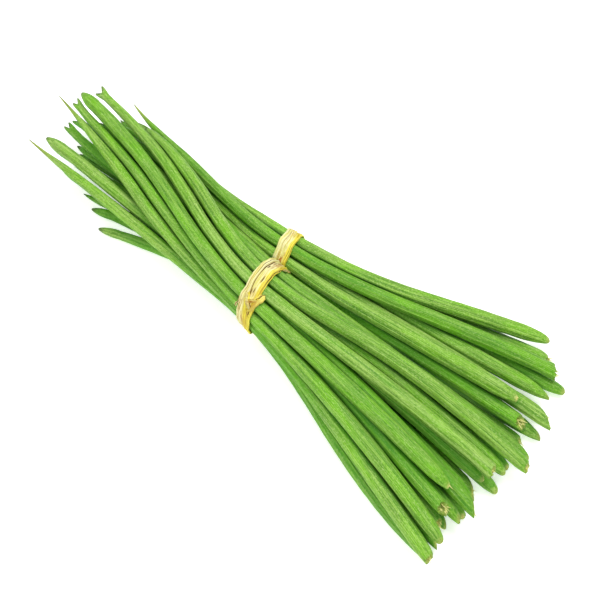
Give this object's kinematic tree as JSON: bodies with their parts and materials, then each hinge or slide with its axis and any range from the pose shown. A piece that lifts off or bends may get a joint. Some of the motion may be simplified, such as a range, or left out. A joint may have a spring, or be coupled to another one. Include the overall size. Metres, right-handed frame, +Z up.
{
  "type": "bunch of moringa pods",
  "caption": "Bunch of long slim ribbed green moringa pods, pointed at one end and broken off at the other, lying down and tied with a strip of dried plant fibre.",
  "frame": {"origin": "middle of the footprint, on the table", "axes": "+X along the bunch from the pointed tips to the broken stem ends, +Z up"},
  "size_m": [0.48, 0.2044, 0.0565],
  "materials": {
    "pod_skin": "satin skin of a fresh green pod with a pale bloom",
    "raffia": "dry matt plant fibre"
  },
  "bodies": {
    "root": {"pod_01": "pod_skin", "pod_02": "pod_skin", "pod_03": "pod_skin", "pod_04": "pod_skin", "pod_05": "pod_skin", "pod_06": "pod_skin", "pod_07": "pod_skin", "pod_08": "pod_skin", "pod_09": "pod_skin", "pod_10": "pod_skin", "pod_11": "pod_skin", "pod_12": "pod_skin", "pod_13": "pod_skin", "pod_14": "pod_skin", "pod_15": "pod_skin", "pod_16": "pod_skin", "pod_17": "pod_skin", "pod_18": "pod_skin", "pod_19": "pod_skin", "pod_20": "pod_skin", "pod_21": "pod_skin", "pod_22": "pod_skin", "pod_23": "pod_skin", "pod_24": "pod_skin", "pod_25": "pod_skin", "pod_26": "pod_skin", "pod_27": "pod_skin", "pod_28": "pod_skin", "pod_29": "pod_skin", "pod_30": "pod_skin", "pod_31": "pod_skin", "raffia_tie": "raffia"}
  },
  "joints": []
}
